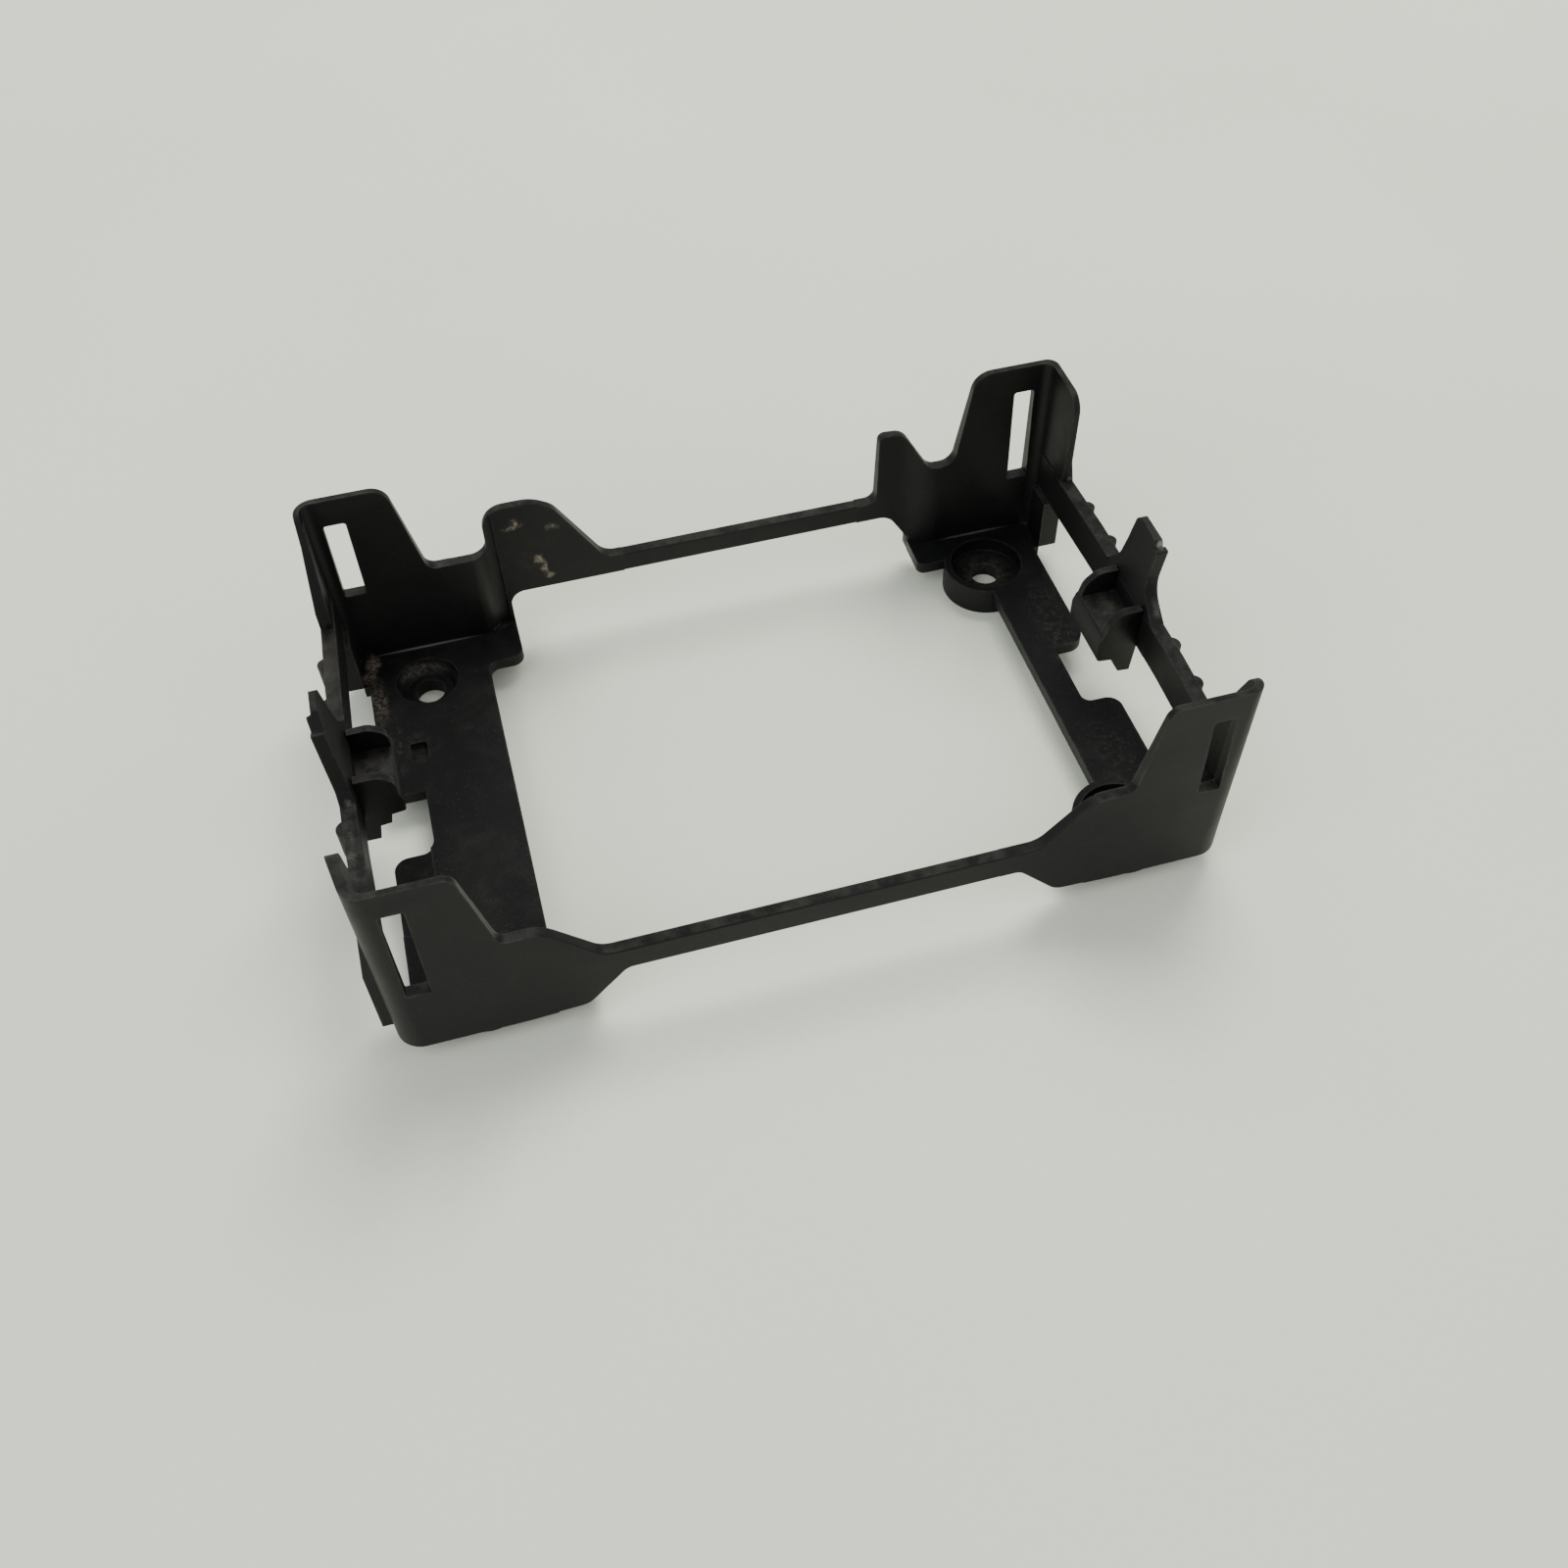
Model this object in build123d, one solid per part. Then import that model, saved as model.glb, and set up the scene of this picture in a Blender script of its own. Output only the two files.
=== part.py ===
from build123d import *
import math
import os

# Heatsink retention frame for a processor socket. Millimetres, +Z up, +X along the
# long sides, front is -Y and left is -X. The four screw boss feet stand on z = 0 and
# the frame is centred on x = y = 0. Signs sx and sy pick a side: -1 left or front,
# +1 right or rear.

os.makedirs("parts", exist_ok=True)

# ---- walls and corner posts -----------------------------------------------------------
WALL = 1.65                 # wall thickness
YI = 28.65                  # inner face of the long walls, from the centre plane
YO = YI + WALL
JOG = 1.5                   # outward jog of the rear wall between its two corner posts
XPO = 48.05                 # outer face of the short-side wings of the posts
WING = 1.2                  # thickness of those wings
XPI = XPO - WING
CORNER_R = 3.0              # outer radius of the vertical corners
INNER_R = 1.4               # fillet inside them, above the base plates
INNER_R_LOW = 0.6           # fillet inside them, up to the top of the base plates
TIGHT_L, TIGHT_R = 0.7, 1.6  # loss of outer radius at the top of left and right corners
Z_WALL = 2.6                # lower edge of the long walls
Z_TOP = 29.6                # top of the rear corner posts
Z_TOP_F = 29.1              # top of the front corner posts
Z_FOOT = 4.05               # lower edge of the short walls beside the windows
Z_VAL = 16.6                # floor of the valley beside each rear post
Z_SHO = 17.3                # shoulder of the front posts

# ---- draft: start heights, and lean in mm per mm of height ----------------------------
Z_DRAFT, FRONT_DRAFT = 7.5, 0.0405     # outer faces of the front walls, leaning inward
Z_WDRAFT, WING_DRAFT = 17.0, 0.0455    # inner faces of the wings, leaning outward
Z_RDRAFT, REAR_DRAFT = 12.0, 0.046     # inner faces of the rear walls, leaning outward
Z_END = 31.0                # height at which the drafted bands end
TIP_FLARE = 0.20            # splay of the front left wing at Z_END, mm per mm along Y
FLARE_Y = 28                # distance from the centre plane where that splay is zero

# ---- rails, end bars and latches ------------------------------------------------------
RAIL_Z0, RAIL_Z1 = 8.05, 11.3  # front rail
REAR_Z0, REAR_Z1 = 8.75, 11.5  # rear rail
RAIL_X_F = 20.0             # half length of the front rail
RAIL_X_L, RAIL_X_R = 10.0, 22.0  # reach of the rear rail to the left and right
XBO = 48.95                 # outer face of the end bars
XBI = 47.12                 # inner face of the end bars
BAR_Z0, BAR_Z1 = 11.5, 16.7  # underside and top of the end bars
BAR_Y = 21.2                # end of the bars at the posts
BOW = 0.33                  # how far the end bars lean inward towards the posts
BOW_Y_IN, BOW_Y_OUT = 10, 12  # where the inner and outer faces start to lean
LATCH_Y = 6.4               # half length of the springing middle piece of each end bar
HOOK_F, HOOK_B = -4.4, 4.0  # front and back ends of each hook
RIB_F, RIB_B = 1.1, 1.0     # thickness of the front and back ribs on each hook
FLANK_Y, BARB_Y = -1.95, -0.7  # back ends of the outward teeth on the fins
PIP_OUT = 0.77              # how far the pips stand proud of the end bars
PIPS = {1: (1.0, (9.5, 16.2)), -1: (1.2, (9.55, 15.95))}  # sy: radius, distances in Y

# ---- base plates and screw bosses -----------------------------------------------------
PLATE_Z0, PLATE_Z1 = 2.45, 4.05
PLATE_XO = 45.4             # outer edge of the base plates at the windows
PLATE_XE = 46.1             # outer edge of the base plates beyond the windows
PLATE_XE_FL = 46.65         # the same edge at the front left
PLATE_L_XI = 30.0           # inner edge of the wide left plate
PLATE_R_XI = 37.1           # inner edge of the narrow right plate
PLATE_L_END = 25.35         # inner ends of the left plate along the walls
PLATE_R_END = 29.2          # inner ends of the right plate along the walls
WIN_Y = 23.3                # outer end of the windows beside the plates
BOSS_X, BOSS_R = 38.1, 5.65
BOSS_Y = {1: 22.45, -1: 23.15}  # distance of rear and front bosses from the centre plane
SEAT_Z = 2.0                # seat face around the screw hole
SEAT_R = 4.75               # counterbore of the right bosses
DISH_R, DISH_Z = 3.95, 3.1  # shallow dish of the left bosses
TAPER_R = DISH_R - 0.35     # top of the taper from the dish down to the seat
DISH_SEAT_R = 3.0
SEAT_STEP = 0.1             # upright step between the seat and the taper
HOLE_R = 1.95

# ---- slots through the long walls in the posts ----------------------------------------
SLOT_XI = 42.7
SLOT_XO = {1: 45.4, -1: 45.4 - 0.12}   # by sy
SLOT_Z1 = {1: 26.0, -1: 25.8}
SLOT_Z0_SHORT, SLOT_Z0_LONG = 14.9, 12.5   # sills of the rear slots
SLOT_SINK = 0.3             # the sills of the front slots sit this much lower

# ---- where the long walls are divided -------------------------------------------------
CUT_L, CUT_R = 31.6, 34.4   # rear posts from the rear guides
CUT_F = 30.6                # front posts from the front shoulders
# Jogs of the rear wall: inner end, outer end, depth of the step at the inner end
JOG_L = (25.9, 29.3, 0.35)
JOG_R = (27.2, 33.0, 0.0)

# ---- limits of the cutting shapes, inside or clear of the frame -----------------------
MID = 10
X_OUT, Y_OUT = 60, 40
Z_UNDER, Z_LOW, Z_OVER = -2, -1, 36

# ---- elevations of the long walls: (x, z, corner radius) ------------------------------
REAR_L = [
    (-60, Z_WALL, 0), (-25.35, Z_WALL, 0), (-25.35, REAR_Z0, 2.0), (0, REAR_Z0, 0),
    (0, REAR_Z1, 0), (-12.2, REAR_Z1, 2.6), (-17.9, 20.9, 3.2), (-20.5, 22.4, 5.0),
    (-27.0, 22.4, 3.0), (-27.05, Z_VAL, 0.7), (-34.6, Z_VAL, 1.5), (-37.35, Z_TOP, 2.4),
    (-60, Z_TOP, 0),
]
REAR_R = [
    (60, Z_WALL, 0), (60, Z_TOP, 0), (37.4, Z_TOP, 2.6), (34.9, Z_VAL, 1.9),
    (31.6, Z_VAL, 1.7), (28.4, 21.7, 2.2), (25.1, 21.95, 0.9), (24.7, REAR_Z1, 1.3),
    (0, REAR_Z1, 0), (0, REAR_Z0, 0), (26.5, REAR_Z0, 2.4), (29.2, 4.6, 0),
    (29.2, Z_WALL, 0),
]
FRONT = [
    (60, Z_WALL, 0), (60, Z_TOP_F, 0), (37.4, Z_TOP_F, 1.6), (34.75, Z_SHO, 1.2),
    (30.2, Z_SHO, 3.4), (24.6, RAIL_Z1, 2.6), (0, RAIL_Z1, 0), (0, RAIL_Z0, 0),
    (22.4, RAIL_Z0, 1.6), (27.1, Z_WALL + 0.35, 2.2), (34.0, Z_WALL, 0),
]

# Free edges of the wings above the end bars, by (sy, wide): (distance in Y, z, radius).
# Upright or nearly so on the wide wings, leaning on the narrow ones.
Z_NOTCH = BAR_Z1 + 0.9
WING_EDGES = {
    (1, True): [(21.2, BAR_Z0, 0), (21.2, Z_TOP, 2.3)],
    (-1, True): [(22.4, BAR_Z0, 0), (21.8, Z_TOP_F, 2.3)],
    (1, False): [(21.6, BAR_Z0, 0), (21.6, Z_NOTCH, 0.8), (24.4, 24.0, 8.0), (27.5, Z_TOP, 0.9)],
    (-1, False): [(22.4, BAR_Z0, 0), (22.4, Z_NOTCH, 0.8), (25.3, 24.6, 6.0),
                  (27.1, Z_TOP_F, 1.7)],
}
FLARE_SETBACK = 0.6         # the flares start this far behind the narrow edges

# ---- plans of the base plates: (x, y, corner radius) ----------------------------------
LEFT_PLATE = [
    (-PLATE_XE, YI, 0.9), (-PLATE_XE, WIN_Y, 0), (-PLATE_XO, WIN_Y, 0), (-PLATE_XO, 4.1, 0),
    (-40.65, 4.1, 0), (-40.65, -5.15, 1.6), (-45.7, -5.15, 1.8), (-45.8, -WIN_Y, 0),
    (-PLATE_XE_FL, -WIN_Y, 0), (-PLATE_XE_FL, -YI, 0.9), (-PLATE_L_END, -YI, 0),
    (-PLATE_L_END, -23.3, 1.6), (-PLATE_L_XI, -23.3, 1.2), (-PLATE_L_XI, 23.3, 1.2),
    (-PLATE_L_END, 23.3, 1.6), (-PLATE_L_END, YI, 0),
]
RIGHT_PLATE = [
    (PLATE_XE, -YI, 0.9), (PLATE_XE, -WIN_Y, 0), (PLATE_XO, -WIN_Y, 0), (PLATE_XO, -5.2, 1.8),
    (41.0, -5.2, 1.2), (41.0, 4.8, 0), (PLATE_XO, 4.8, 2.1), (PLATE_XO, WIN_Y, 0),
    (PLATE_XE, WIN_Y, 0), (PLATE_XE, YI, 0.9), (PLATE_R_END, YI, 0),
    (PLATE_R_END, 24.5, 1.0), (PLATE_R_XI, 24.5, 0), (PLATE_R_XI, -24.5, 0),
    (PLATE_R_END, -24.5, 1.0), (PLATE_R_END, -YI, 0),
]
POCKET = [(-41.6, 9.2, 0.4), (-39.5, 9.2, 0.4), (-39.5, 12.1, 0.4), (-41.6, 12.1, 0.4)]
LEDGE = [(-47.0, -16.5, 0), (-41.2, -16.5, 0.8), (-41.2, -4.0, 0), (-47.0, -4.0, 0)]
POCKET_DEPTH, LEDGE_DEPTH = 0.7, 0.45

# ---- latch outlines -------------------------------------------------------------------
# Hooks and the ribs on them: (distance in X, z, corner radius)
HOOKS = {
    "left": [
        (47.85, 7.35, 0), (47.85, BAR_Z0, 0), (XBI, BAR_Z0, 0), (XBI, 14.3, 0),
        (42.7, 14.3, 0.4), (42.35, 13.0, 0), (42.4, 11.3, 0.35), (44.1, 11.05, 0),
        (44.4, 9.65, 0), (45.7, 9.5, 0), (46.1, 7.35, 0),
    ],
    "right": [
        (46.8, 7.45, 0), (XBI, 11.4, 0), (XBI, 14.3, 0), (42.4, 14.3, 0.4),
        (41.95, 13.0, 0), (41.95, 11.0, 0), (42.2, 10.15, 0.6), (44.0, 9.95, 0),
        (45.25, 7.6, 0),
    ],
}
RIBS = {
    "left": [(XBI, 14.0, 0), (XBI, 17.5, 0), (44.5, 17.6, 2.2), (42.75, 16.3, 1.9),
             (42.68, 14.0, 0)],
    "right": [(XBI, 14.0, 0), (XBI, 17.5, 0), (44.6, 17.5, 2.0), (43.0, 16.0, 1.6),
              (42.45, 14.0, 0)],
}
# Fins seen from the end: (y, z, corner radius)
FINS = {
    "left": [
        (6.3, BAR_Z1, 0), (3.9, 19.0, 2.4), (2.9, 26.1, 0.9), (-0.6, 26.1, 0.3),
        (-0.75, 25.7, 0), (-1.9, 24.4, 0), (-3.1, 24.95, 0.2), (-5.5, 18.0, 1.5),
        (-6.4, BAR_Z1, 0),
    ],
    "right": [
        (6.4, BAR_Z1, 0), (4.3, 19.0, 3.0), (3.1, 26.0, 1.1), (-1.7, 25.9, 0.4),
        (-1.95, 24.95, 0), (-2.75, 24.85, 0.2), (-2.5, 19.4, 3.5), (-6.4, BAR_Z1, 0),
    ],
}
# Sections of the fins and their outward teeth: (distance in X, z, corner radius)
FIN_SIDE = [
    (XBI + 0.05, BAR_Z1, 0), (XBO, BAR_Z1, 0), (49.0, 18.0, 0), (49.4, 24.5, 0),
    (49.3, 26.1, 0.35), (48.35, 26.1, 0.35), (47.95, 22.0, 6.0),
]
FLANK = [(48.6, 18.0, 0), (49.0, 18.0, 0), (49.75, 24.95, 0.15), (48.9, 24.95, 0)]
BARB = [(48.6, 20.0, 0), (49.1, 20.0, 0), (49.85, 25.5, 0.1), (49.3, 25.75, 0), (48.9, 25.75, 0)]


# ---- drawing helpers ------------------------------------------------------------------
def outline(points):
    """Closed face in XY from (x, y, corner radius) points, straight sides, arc corners."""
    corners = []   # start, arc middle or None, end
    for i, (x, y, radius) in enumerate(points):
        if radius <= 0:
            corners.append(((x, y), None, (x, y)))
            continue
        before = points[i - 1]
        after = points[(i + 1) % len(points)]
        ax, ay = before[0] - x, before[1] - y
        bx, by = after[0] - x, after[1] - y
        len_a, len_b = math.hypot(ax, ay), math.hypot(bx, by)
        ax, ay, bx, by = ax / len_a, ay / len_a, bx / len_b, by / len_b
        half = math.acos(max(-1.0, min(1.0, ax * bx + ay * by))) / 2
        setback = radius / math.tan(half)
        # unit vector along the bisector, from the corner to the arc centre
        len_m = math.hypot(ax + bx, ay + by)
        mx, my = (ax + bx) / len_m, (ay + by) / len_m
        to_arc = radius / math.sin(half) - radius
        corners.append((
            (x + ax * setback, y + ay * setback),
            (x + mx * to_arc, y + my * to_arc),
            (x + bx * setback, y + by * setback),
        ))
    edges = []
    for i, (start, middle, end) in enumerate(corners):
        if middle is not None:
            edges.append(ThreePointArc(start, middle, end).edge())
        following = corners[(i + 1) % len(corners)][0]
        if math.hypot(following[0] - end[0], following[1] - end[1]) > 1e-6:
            edges.append(Line(end, following).edge())
    return Face(Wire(edges))


def along_z(points, z0, z1):
    """Plan of (x, y, radius) points, extruded from z0 to z1."""
    return extrude(Plane.XY.offset(z0) * outline(points), amount=z1 - z0, dir=(0, 0, 1))


def along_y(points, y0, y1):
    """Elevation of (x, z, radius) points, extruded between y0 and y1 in either order."""
    y0, y1 = sorted((y0, y1))
    return extrude(Plane.XZ.offset(-y0) * outline(points), amount=y1 - y0, dir=(0, 1, 0))


def along_x(points, x0, x1):
    """End elevation of (y, z, radius) points, extruded between x0 and x1 in either order."""
    x0, x1 = sorted((x0, x1))
    return extrude(Plane.YZ.offset(x0) * outline(points), amount=x1 - x0, dir=(1, 0, 0))


def block(x0, x1, y0, y1, z0, z1):
    return Pos((x0 + x1) / 2, (y0 + y1) / 2, (z0 + z1) / 2) * Box(
        abs(x1 - x0), abs(y1 - y0), abs(z1 - z0))


def upright(x, y, radius, z0, z1):
    return Pos(x, y, (z0 + z1) / 2) * Cylinder(radius, z1 - z0)


def flip(points, sx=1, sy=1):
    """Mirrored outline; the order is reversed so it keeps its sense."""
    mirrored = [(x * sx, y * sy, radius) for x, y, radius in points]
    return mirrored[::-1] if sx * sy < 0 else mirrored


def ruled(bottom, top, z0, z1):
    """Solid between two faces in XY, ruled from z0 to z1."""
    return loft([Plane.XY.offset(z0) * bottom, Plane.XY.offset(z1) * top], ruled=True)


# ---- corner posts ---------------------------------------------------------------------
def corner_band(sx, sy, splay, tight):
    """One corner over all heights: long wall and short wing joined by a rounded corner. The
    front walls have draft outside, the rear walls and the wings have draft inside, a splayed
    wing opens outward at its top instead, and the corner loses tight off its radius by then."""
    def rect(start, x_start, x_end, y, radius):
        points = [(start, start, 0), (x_start, start, 0), (x_end, y, radius), (start, y, 0)]
        return flip(points, sx, sy)

    start = 20
    yo = YO - (FRONT_DRAFT * (Z_END - Z_DRAFT) if sy < 0 else 0.0)
    reach = XPO + 0.1 * tight
    base = rect(start, XPO, XPO, YO, CORNER_R)
    top = rect(start, reach + splay * (FLARE_Y - start), reach - splay * (yo - FLARE_Y),
               yo, CORNER_R - tight)
    outer = along_z(base, Z_LOW, Z_DRAFT)
    outer = outer + ruled(outline(base), outline(top), Z_DRAFT, Z_END)

    z_in = Z_RDRAFT if sy > 0 else Z_WDRAFT
    xi = XPI + (0.0 if splay else WING_DRAFT * (Z_END - Z_WDRAFT))
    yi = YI + (REAR_DRAFT * (Z_END - z_in) if sy > 0 else 0.0)
    base = rect(MID, XPI, XPI, YI, INNER_R_LOW)
    hollow = rect(MID, XPI, XPI, YI, INNER_R)
    wide = rect(MID, xi + splay * (FLARE_Y - MID), xi - splay * (yi - FLARE_Y), yi, INNER_R)
    inner = along_z(base, Z_UNDER, PLATE_Z1) + along_z(hollow, PLATE_Z1, z_in)
    inner = inner + ruled(outline(hollow), outline(wide), z_in, Z_END)
    return outer - inner


def wing_trim(sy, wide):
    """Region kept of the short-side wing of a post, bounded by its free edge."""
    foot = [(X_OUT, Z_UNDER, 0), (27.6, Z_UNDER, 0), (27.6, Z_FOOT, 0), (WIN_Y, Z_FOOT, 0),
            (WIN_Y, BAR_Z0, 0)]
    top = Z_TOP if sy > 0 else Z_TOP_F
    points = foot + WING_EDGES[sy, wide] + [(X_OUT, top, 0)]
    return along_x(flip(points, sy, 1), -X_OUT, X_OUT)


def slot(sx, sy, wide):
    z0 = SLOT_Z0_LONG if wide else SLOT_Z0_SHORT
    if sy < 0:
        z0 -= SLOT_SINK
    xo, z1 = SLOT_XO[sy], SLOT_Z1[sy]
    points = [(SLOT_XI, z0, 0.2), (xo, z0, 0.2), (xo, z1, 0.4), (SLOT_XI, z1, 0.4)]
    return along_y(flip(points, sx, 1), sy * (YI - 1), sy * (YO + 1))


def foot_wall(sx, sy, wide):
    """Thicker lower end wall that carries one end of an end bar down to the base plate. On
    wide posts it stands proud and leans in above the bar, on the others it fades into the
    corner. The front left one is thinner."""
    xi = 46.6 if sx < 0 and sy < 0 else PLATE_XE - 0.05
    if not wide:
        plan = [(xi, WIN_Y, 0), (48.6, WIN_Y, 0.3), (48.6, 26.0, 2.0), (XPO - 0.05, 27.8, 0),
                (xi, 27.8, 0)]
        return along_z(flip(plan, sx, sy), Z_FOOT, BAR_Z0)
    y_end = 27.5
    plan = [(xi, WIN_Y, 0), (48.6, WIN_Y, 0.3), (49.25, y_end, 0), (xi, y_end, 0)]
    side = [(xi, Z_FOOT, 0), (49.25, Z_FOOT, 0), (49.2, 13.8, 1.5), (48.2, 20.6, 0),
            (XPI + 0.3, 20.6, 0), (XPI + 0.3, BAR_Z0, 0), (xi, BAR_Z0, 0)]
    return (along_z(flip(plan, sx, sy), 0, 30)
            & along_y(flip(side, sx, 1), sy * WIN_Y, sy * y_end))


def bar_root(sx, sy, edge, trim):
    """End of an end bar where it merges with the post, with a flare above it that runs out in
    the wing. The flare of the rear left post is taller."""
    bar_xi, bar_xo = XBI - BOW + 0.02, XBO - BOW
    wing_xi, wing_xo = XPI + 0.3, XPO - 0.05
    plan = [(bar_xi, BAR_Y, 0), (bar_xo, BAR_Y, 0), (XBO - 0.45, 24.5, 3.0),
            (wing_xo, 27.8, 0), (bar_xi, 27.8, 0)]
    root = along_z(flip(plan, sx, sy), BAR_Z0, BAR_Z1)
    side = [(wing_xi, BAR_Z1 - 1, 0), (bar_xo, BAR_Z1 - 1, 0)]
    if sx < 0 < sy:
        side += [(bar_xo, BAR_Z1 + 2.3, 4.0), (wing_xo, 28.0, 0), (wing_xi, 28.0, 0)]
        out = [(wing_xi, 20, 0), (bar_xo, 20, 0), (bar_xo, 25.6, 3.0), (wing_xo, 28.6, 0),
               (wing_xi, 28.6, 0)]
    else:
        side += [(bar_xo, BAR_Z1, 0), (48.35, 18.4, 2.5), (wing_xo, 20.8, 0),
                 (wing_xi, 20.8, 0)]
        out = [(46, 20, 0), (bar_xo, 20, 0), (XBO - 0.45, 24.0, 3.0), (wing_xo, 26.5, 0),
               (46, 26.5, 0)]
    flare = (along_y(flip(side, sx, 1), sy * edge, sy * 29)
             & along_z(flip(out, sx, sy), 0, 30))
    return root + (flare & trim)


def post(sx, sy, wide, elevation, x_cut):
    splay = TIP_FLARE if sx < 0 and sy < 0 else 0.0
    band = corner_band(sx, sy, splay, TIGHT_L if sx < 0 else TIGHT_R)
    trim = wing_trim(sy, wide)
    body = band & along_y(elevation, sy * MID, sy * Y_OUT) & trim
    body = body & block(sx * x_cut, sx * X_OUT, sy * MID, sy * Y_OUT, Z_UNDER, Z_OVER)
    flare_start = WING_EDGES[sy, wide][0][0] + (0.0 if wide else FLARE_SETBACK)
    body = body + bar_root(sx, sy, flare_start, trim) + foot_wall(sx, sy, wide)
    return body - slot(sx, sy, wide)


# ---- long walls between the posts -----------------------------------------------------
def jogged_band(side, x_in, x_out, step):
    """Rear wall over all heights: on the corner plane beyond x_out, stepped outward by JOG
    nearer the centre than x_in. With a step the inner face first runs that much deeper and
    then comes back at x_in."""
    half = (x_out - x_in) / 2

    def curve(y, extra):
        y_in = y + JOG + extra
        return Bezier((side * x_out, y), (side * (x_out - half), y),
                      (side * (x_in + half), y_in), (side * x_in, y_in)).edge()

    def line(xa, ya, xb, yb):
        return Line((side * xa, ya), (side * xb, yb)).edge()

    def plan(yi):
        edges = [line(Y_OUT, yi, x_out, yi), curve(yi, step)]
        if step:
            edges.append(line(x_in, yi + JOG + step, x_in, yi + JOG))
        edges += [
            line(x_in, yi + JOG, 0, yi + JOG),
            line(0, yi + JOG, 0, YO + JOG),
            line(0, YO + JOG, x_in, YO + JOG),
            curve(YO, 0),
            line(x_out, YO, Y_OUT, YO),
            line(Y_OUT, YO, Y_OUT, yi),
        ]
        return Face(Wire(edges))

    low = extrude(Plane.XY.offset(Z_LOW) * plan(YI), amount=Z_RDRAFT - Z_LOW, dir=(0, 0, 1))
    high = ruled(plan(YI), plan(YI + REAR_DRAFT * (Z_END - Z_RDRAFT)), Z_RDRAFT, Z_END)
    return low + high


def rear_guide(side, elevation, x0, x1, jog):
    body = jogged_band(side, *jog) & along_y(elevation, MID, Y_OUT)
    return body & block(side * x0, side * x1, MID, Y_OUT, Z_UNDER, Z_OVER)


def front_lean():
    """Region outside the leaning outer face of the front walls."""
    top = 40
    points = [(-YO, Z_DRAFT, 0), (-60, Z_DRAFT, 0), (-60, top, 0),
              (-YO + FRONT_DRAFT * (top - Z_DRAFT), top, 0)]
    return along_x(points, -X_OUT, X_OUT)


def front_shoulder(side):
    band = block(-CUT_F, CUT_F, -YO, -YI, Z_LOW, Z_OVER) - front_lean()
    body = band & along_y(flip(FRONT, side, 1), -Y_OUT, -MID)
    return body & block(side * RAIL_X_F, side * CUT_F, -Y_OUT, -MID, Z_UNDER, Z_OVER)


def front_rail():
    return block(-RAIL_X_F, RAIL_X_F, -YO, -YI, RAIL_Z0, RAIL_Z1) - front_lean()


# ---- base plates and screw bosses -----------------------------------------------------
def plate_lip(side, x_end, jog):
    """Plate lip that follows the rear wall where it jogs outward."""
    x_in, x_out, step = jog
    piece = block(side * x_end, side * x_out, YI - 0.4, YI + JOG + step, PLATE_Z0, PLATE_Z1)
    piece = piece - jogged_band(side, *jog)
    return piece.solids().sort_by(Axis.Y)[0]


def cut_bosses(plate, sx):
    """Clears the plate where its rear and front bosses stand."""
    for sy in (1, -1):
        plate = plate - upright(sx * BOSS_X, sy * BOSS_Y[sy], BOSS_R, -1, 20)
    return plate


def left_base_plate():
    plate = along_z(LEFT_PLATE[::-1], PLATE_Z0, PLATE_Z1)
    plate = plate + plate_lip(-1, PLATE_L_END, JOG_L)
    # small pocket, and a lower ledge along the front window
    plate = plate - along_z(POCKET, PLATE_Z1 - POCKET_DEPTH, PLATE_Z1 + 1)
    plate = plate - along_z(LEDGE, PLATE_Z1 - LEDGE_DEPTH, PLATE_Z1 + 1)
    return cut_bosses(plate, -1)


def right_plate_pieces():
    """The ears beyond the bosses, then the plate itself as the largest piece."""
    plate = along_z(RIGHT_PLATE[::-1], PLATE_Z0, PLATE_Z1)
    plate = plate + plate_lip(1, PLATE_R_END, JOG_R)
    return cut_bosses(plate, 1).solids().sort_by(SortBy.VOLUME)


def screw_boss(sx, sy):
    """Boss merging with the walls and reaching a little way under them."""
    x, y = sx * BOSS_X, sy * BOSS_Y[sy]
    inside = (block(-PLATE_XE, PLATE_XE, -YI, YI, -2, 20)
              + block(-PLATE_XE, PLATE_XE, -YO, YO, -2, Z_WALL))
    boss = upright(x, y, BOSS_R, 0, PLATE_Z1) & inside
    if sx < 0:
        taper_z0 = SEAT_Z + SEAT_STEP
        taper = Pos(x, y, (taper_z0 + DISH_Z) / 2) * Cone(
            DISH_SEAT_R, TAPER_R, DISH_Z - taper_z0)
        boss = boss - upright(x, y, DISH_R, DISH_Z, PLATE_Z1 + 2) - taper
        boss = boss - upright(x, y, DISH_SEAT_R, SEAT_Z, SEAT_Z + 0.2)
    else:
        boss = boss - upright(x, y, SEAT_R, SEAT_Z, PLATE_Z1 + 2)
    return boss - upright(x, y, HOLE_R, -1, SEAT_Z + 1)


# ---- end bars and latches -------------------------------------------------------------
def end_bar(sx, sy):
    """Stretch of an end bar from the latch to the post, with pips on its outer face."""
    plan = [(XBI, 0, 0), (XBI, BOW_Y_IN, 0), (XBI - BOW, BAR_Y, 0), (XBO - BOW, BAR_Y, 0),
            (XBO, BOW_Y_OUT, 0), (XBO, 0, 0)]
    body = along_z(flip(plan, sx, sy), BAR_Z0, BAR_Z1)
    body = body & block(sx * 40, sx * X_OUT, sy * LATCH_Y, sy * BAR_Y, 0, 30)
    radius, distances = PIPS[sy]
    for distance in distances:
        y = sy * distance
        face = XBO - BOW * max(0.0, distance - BOW_Y_OUT) / (BAR_Y - BOW_Y_OUT)
        pip = upright(sx * (face + PIP_OUT - radius), y, radius, BAR_Z0 + 0.9, BAR_Z1 - 0.25)
        body = body + (pip & block(sx * (face - 0.6), sx * X_OUT, y - 3, y + 3, 0, 30))
    return body


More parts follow.
